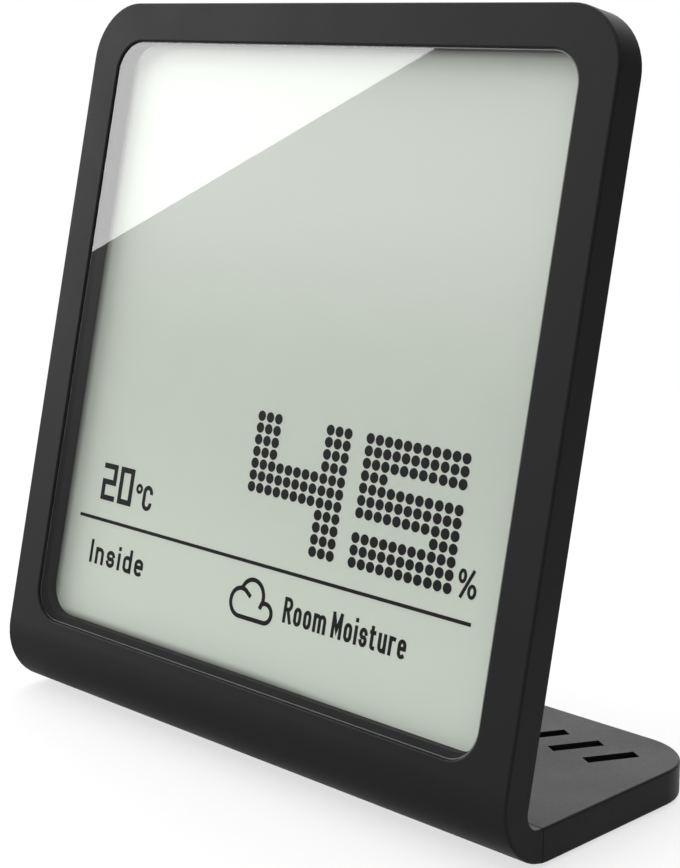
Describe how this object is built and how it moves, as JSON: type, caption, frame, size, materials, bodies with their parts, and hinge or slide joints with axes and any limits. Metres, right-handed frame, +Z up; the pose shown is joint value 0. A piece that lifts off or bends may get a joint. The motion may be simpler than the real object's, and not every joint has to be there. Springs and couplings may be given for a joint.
{
  "type": "hygrometer",
  "caption": "Desk hygrometer with thermometer: leaning flat panel with a framed display, bent into a thin foot; battery door and unit button on the back",
  "frame": {"origin": "on the surface the foot pads rest on, in the middle of the width and of the depth", "axes": "+X to the right as the display is read, +Y from the display to the back, +Z up"},
  "size_m": [0.086, 0.037, 0.0917],
  "materials": {
    "case_black": "fine matte",
    "button_grey": "satin",
    "clear_lens": "polished, clear",
    "shield_black": "matte",
    "tape_black": "tacky",
    "display_film": "anti-glare",
    "display_glass": "polished",
    "reflector_silver": "metallised film",
    "board_green": "solder mask over glass laminate",
    "screw_steel": "black zinc",
    "zebra_rubber": "striped",
    "foam_black": "open foam",
    "epoxy_black": "glossy cap",
    "crystal_can": "tinned",
    "ceramic_tan": "ceramic",
    "resistor_black": "ceramic under black glaze",
    "sensor_white": "smooth",
    "membrane_white": "breathing film",
    "switch_black": "matte",
    "plunger_white": "matte",
    "cell_steel": "nickel-plated",
    "contact_nickel": "nickel-plated spring sheet",
    "pad_rubber": "soft"
  },
  "bodies": {
    "housing": {"front_frame": "case_black", "foot_plate": "case_black", "rear_cover": "case_black", "lens": "clear_lens", "light_shield": "shield_black", "lens_tape": "tape_black", "lcd_front_polariser": "display_film", "lcd_front_glass": "display_glass", "lcd_rear_glass": "display_glass", "lcd_reflector": "reflector_silver", "circuit_board": "board_green", "board_screws": "screw_steel", "foot_screws": "screw_steel", "zebra_strip": "zebra_rubber", "foam_pads": "foam_black", "sensor_collar": "foam_black", "controller_chip": "epoxy_black", "quartz_crystal": "crystal_can", "chip_capacitors": "ceramic_tan", "chip_resistors": "resistor_black", "humidity_sensor": "sensor_white", "vent_membrane": "membrane_white", "switch_body": "switch_black", "coin_cell": "cell_steel", "negative_contact": "contact_nickel", "positive_contact": "contact_nickel", "foot_pads": "pad_rubber"},
    "battery_door": {"battery_door": "case_black"},
    "unit_button": {"unit_button": "button_grey", "switch_plunger": "plunger_white"}
  },
  "joints": [
    {"name": "battery_door_slide", "type": "slide", "parent": "housing", "child": "battery_door", "axis": [0, 0.2079, 0.9781], "range_m": [0, 0.03]},
    {"name": "unit_button_press", "type": "slide", "parent": "housing", "child": "unit_button", "axis": [0, -0.9781, 0.2079], "range_m": [0, 0.00035], "stiffness_N_per_m": 1500}
  ]
}
